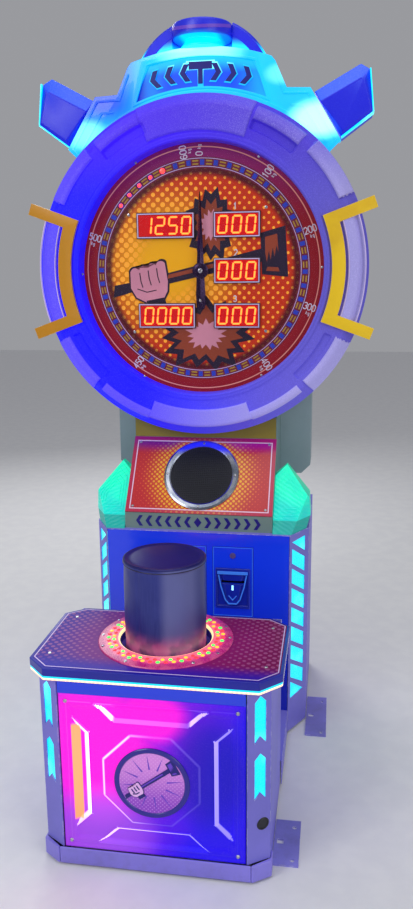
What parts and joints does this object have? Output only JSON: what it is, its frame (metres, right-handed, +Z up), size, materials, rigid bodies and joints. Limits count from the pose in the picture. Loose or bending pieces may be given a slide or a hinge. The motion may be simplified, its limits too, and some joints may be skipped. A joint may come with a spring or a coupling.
{
  "type": "hammer strength tester arcade machine",
  "caption": "Arcade strength tester: a spring-backed striking pad on a front pedestal, a cabinet column, a round dial with a pointer, and a light-up crown.",
  "frame": {"origin": "on the floor, at the middle of the machine's box", "axes": "+Z up, +X to the player's right, -Y towards the player"},
  "size_m": [1.0302, 1.159, 2.163],
  "materials": {
    "frame_steel": "powder coated, semi-matt",
    "foot_rubber": "matt",
    "cabinet_grey": "textured powder coat",
    "bracket_steel": "worn powder coat",
    "front_blue": "gloss",
    "backlit_plastic": "translucent, backlit, satin",
    "emblem_print": "printed disc",
    "skirt_beige": "satin",
    "table_print": "board with a printed laminate",
    "light_strip": "light diffuser",
    "cyan_lens": "light diffuser",
    "ring_print": "printed, gloss",
    "lamp_lens": "coloured lamp lenses",
    "pad_rubber": "satin, scuffed",
    "bright_steel": "machined",
    "bush_bronze": "sintered",
    "black_plastic": "textured",
    "supply_case": "perforated case",
    "board_green": "circuit board",
    "panel_red": "printed, gloss",
    "name_grey": "satin",
    "ring_chrome": "polished",
    "grille_black": "fine mesh",
    "fairing_green": "translucent, backlit",
    "bezel_lilac": "textured moulding",
    "housing_grey": "satin moulding",
    "trim_gold": "textured paint",
    "dial_print": "printed",
    "display_black": "red digit modules",
    "needle_dark": "anodised",
    "clear_cover": "clear acrylic",
    "crown_cyan": "translucent, backlit",
    "dome_blue": "satin"
  },
  "bodies": {
    "cabinet": {"base_frame": "frame_steel", "strike_frame": "frame_steel", "levelling_feet": "foot_rubber", "plinth_cover": "cabinet_grey", "pedestal_sides": "cabinet_grey", "pedestal_rear_panel": "cabinet_grey", "corner_covers": "cabinet_grey", "column_sides": "cabinet_grey", "column_rear_panel": "cabinet_grey", "column_top_plate": "cabinet_grey", "corner_strips": "cabinet_grey", "neck_cover": "cabinet_grey", "floor_brackets": "bracket_steel", "column_front_panel": "front_blue", "table_fascia": "front_blue", "front_moulding": "backlit_plastic", "front_emblem": "emblem_print", "front_skirt": "skirt_beige", "table_top": "table_print", "edge_light": "light_strip", "light_lenses": "cyan_lens", "ring_plate": "ring_print", "ring_lamps": "lamp_lens", "return_spring": "bright_steel", "panel_screws": "bright_steel", "cash_box": "bright_steel", "guide_bushes": "bush_bronze", "strike_sensor": "black_plastic", "power_inlet": "black_plastic", "speaker_driver": "black_plastic", "needle_motor": "black_plastic", "power_supply": "supply_case", "main_board": "board_green", "speaker_panel": "panel_red", "name_strip": "name_grey", "speaker_ring": "ring_chrome", "speaker_grille": "grille_black", "fairings": "fairing_green", "bezel_ring": "bezel_lilac", "head_housing": "housing_grey", "bezel_trims": "trim_gold", "dial_face": "dial_print", "score_displays": "display_black", "dial_window": "clear_cover", "crown_shell": "crown_cyan", "sign_plate": "crown_cyan", "dome": "dome_blue", "dome_cap": "dome_blue", "horns": "dome_blue"},
    "striker": {"striking_pad": "pad_rubber", "plunger": "bright_steel"},
    "pointer": {"needle": "needle_dark"},
    "coin_door_leaf": {"coin_door": "front_blue", "bill_bezel": "black_plastic", "bill_acceptor": "black_plastic"},
    "coin_lock_barrel": {"coin_door_lock": "bright_steel"},
    "cash_door_leaf": {"cash_door": "front_blue"},
    "cash_lock_barrel": {"cash_door_lock": "bright_steel"},
    "rear_door_leaf": {"rear_door": "cabinet_grey"},
    "rear_lock_barrel": {"rear_door_lock": "bright_steel"}
  },
  "joints": [
    {"name": "striker_stroke", "type": "slide", "parent": "cabinet", "child": "striker", "axis": [0, 0, -1], "range_m": [0, 0.035], "stiffness_N_per_m": 20000, "springref_m": -0.02, "deforming": ["return_spring"]},
    {"name": "needle_turn", "type": "hinge", "parent": "cabinet", "child": "pointer", "pos_m": [0, 0.2075, 1.443], "axis": [0, 1, 0], "range_deg": [0, 345]},
    {"name": "coin_door_swing", "type": "hinge", "parent": "cabinet", "child": "coin_door_leaf", "pos_m": [0.1115, 0.0875, 0.392], "axis": [1, 0, 0], "range_deg": [0, 90]},
    {"name": "coin_lock_turn", "type": "hinge", "parent": "coin_door_leaf", "child": "coin_lock_barrel", "pos_m": [0.1115, 0.0875, 0.59], "axis": [0, -1, 0], "range_deg": [0, 90]},
    {"name": "cash_door_swing", "type": "hinge", "parent": "cabinet", "child": "cash_door_leaf", "pos_m": [-0.095, 0.0875, 0.504], "axis": [0, 0, -1], "range_deg": [0, 110]},
    {"name": "cash_lock_turn", "type": "hinge", "parent": "cash_door_leaf", "child": "cash_lock_barrel", "pos_m": [-0.0335, 0.0875, 0.59], "axis": [0, -1, 0], "range_deg": [0, 90]},
    {"name": "rear_door_swing", "type": "hinge", "parent": "cabinet", "child": "rear_door_leaf", "pos_m": [-0.19, 0.5775, 0.37], "axis": [0, 0, 1], "range_deg": [0, 110]},
    {"name": "rear_lock_turn", "type": "hinge", "parent": "rear_door_leaf", "child": "rear_lock_barrel", "pos_m": [0.165, 0.5775, 0.37], "axis": [0, -1, 0], "range_deg": [0, 90]}
  ]
}
